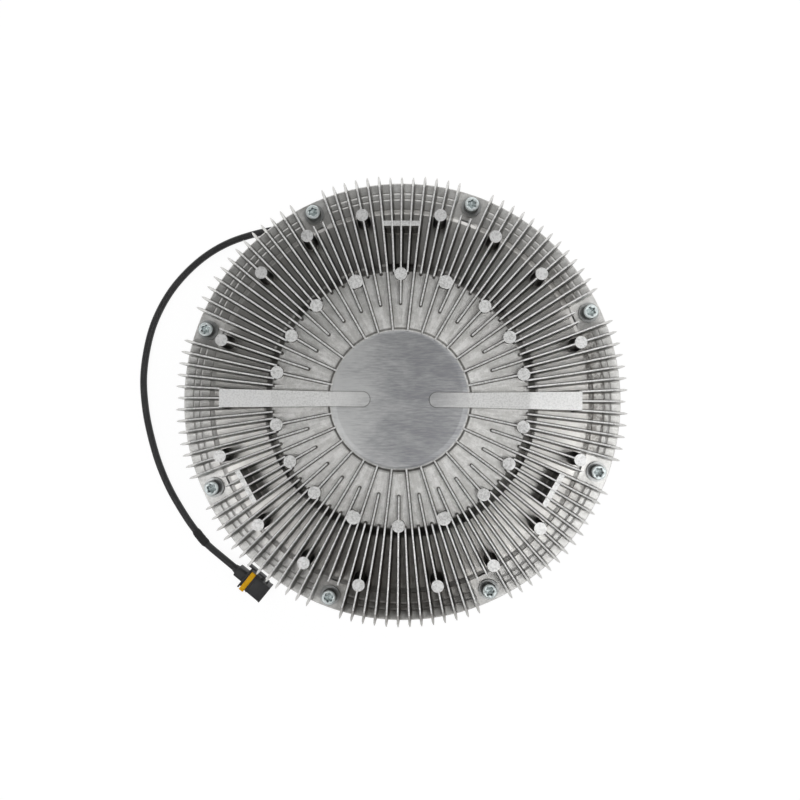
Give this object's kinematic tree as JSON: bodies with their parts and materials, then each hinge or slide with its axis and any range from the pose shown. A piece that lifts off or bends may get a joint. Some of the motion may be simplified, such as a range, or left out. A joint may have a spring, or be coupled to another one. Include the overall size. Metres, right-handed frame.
{
  "type": "viscous fan clutch",
  "caption": "Round finned viscous fan clutch with a rear magnet coil, ball bearings, a shaft flange and a cable with a plug, lying face up.",
  "frame": {"origin": "centre of the shaft flange's mounting face, which the clutch lies on", "axes": "+Z along the shaft, out of the finned front cover; +X and +Y are right and up in the picture"},
  "size_m": [0.3654, 0.3111, 0.1129],
  "materials": {
    "cast_aluminium": "raw die-cast, slightly mottled",
    "machined_aluminium": "turned",
    "steel": "turned or stamped",
    "bearing_steel": "ground",
    "spring_steel": "oil-blackened",
    "zinc_steel": "bright zinc plate",
    "brass": "stamped",
    "copper": "enamelled winding wire",
    "contact_metal": "plated contacts",
    "black_plastic": "moulded, fine grain",
    "amber_plastic": "moulded",
    "black_rubber": "matte",
    "cable_jacket": "satin jacket",
    "red_rubber": "matte"
  },
  "bodies": {
    "shaft": {"drive_shaft": "steel", "rotor_disc": "machined_aluminium", "rotor_lock_washer": "steel", "rotor_nut": "steel", "main_bearing_inner_ring": "bearing_steel", "coil_bearing_inner_ring": "bearing_steel", "coil_shaft_circlip": "spring_steel"},
    "housing": {"front_cover": "cast_aluminium", "rear_housing": "cast_aluminium", "cover_screws": "zinc_steel", "cover_washers": "zinc_steel", "cover_seal": "black_rubber", "reservoir_plate": "steel", "plate_screws": "zinc_steel", "valve_pivot": "steel", "valve_rivet": "brass", "pump_wipers": "black_plastic", "main_bearing_outer_ring": "bearing_steel", "main_bearing_shields": "black_rubber", "housing_circlip": "spring_steel", "flux_ring": "steel", "target_ring": "steel"},
    "main_ball_set": {"main_balls": "bearing_steel", "main_cage": "brass"},
    "coil": {"coil_carrier": "cast_aluminium", "coil_yoke": "steel", "coil_bobbin": "black_plastic", "coil_winding": "copper", "coil_potting": "black_plastic", "carrier_screws": "zinc_steel", "carrier_circlip": "spring_steel", "coil_bearing_outer_ring": "bearing_steel", "speed_sensor": "black_plastic", "cable_gland": "black_rubber", "cable": "cable_jacket", "cable_sleeve": "cable_jacket", "connector_body": "black_plastic", "connector_lock": "amber_plastic", "connector_seal": "red_rubber", "connector_terminals": "contact_metal"},
    "coil_ball_set": {"coil_balls": "bearing_steel", "coil_cage": "brass"},
    "valve": {"valve_lever": "steel", "armature": "steel"}
  },
  "joints": [
    {"name": "housing_spin", "type": "hinge", "parent": "shaft", "child": "housing", "pos_m": [0, 0, 0.051], "axis": [0, 0, 1], "continuous": true},
    {"name": "main_ball_spin", "type": "hinge", "parent": "shaft", "child": "main_ball_set", "pos_m": [0, 0, 0.051], "axis": [0, 0, 1], "continuous": true},
    {"name": "coil_spin", "type": "hinge", "parent": "shaft", "child": "coil", "pos_m": [0, 0, 0.0235], "axis": [0, 0, 1], "continuous": true},
    {"name": "coil_ball_spin", "type": "hinge", "parent": "shaft", "child": "coil_ball_set", "pos_m": [0, 0, 0.0235], "axis": [0, 0, 1], "continuous": true},
    {"name": "valve_tilt", "type": "hinge", "parent": "housing", "child": "valve", "pos_m": [-0.06, 0, 0.0894], "axis": [0, 1, 0], "range_deg": [0, 1.2], "stiffness_Nm_per_rad": 4}
  ],
  "couplings": [
    {"joint": "main_ball_spin", "follows": "housing_spin", "ratio": 0.589},
    {"joint": "coil_ball_spin", "follows": "coil_spin", "ratio": 0.5741}
  ]
}
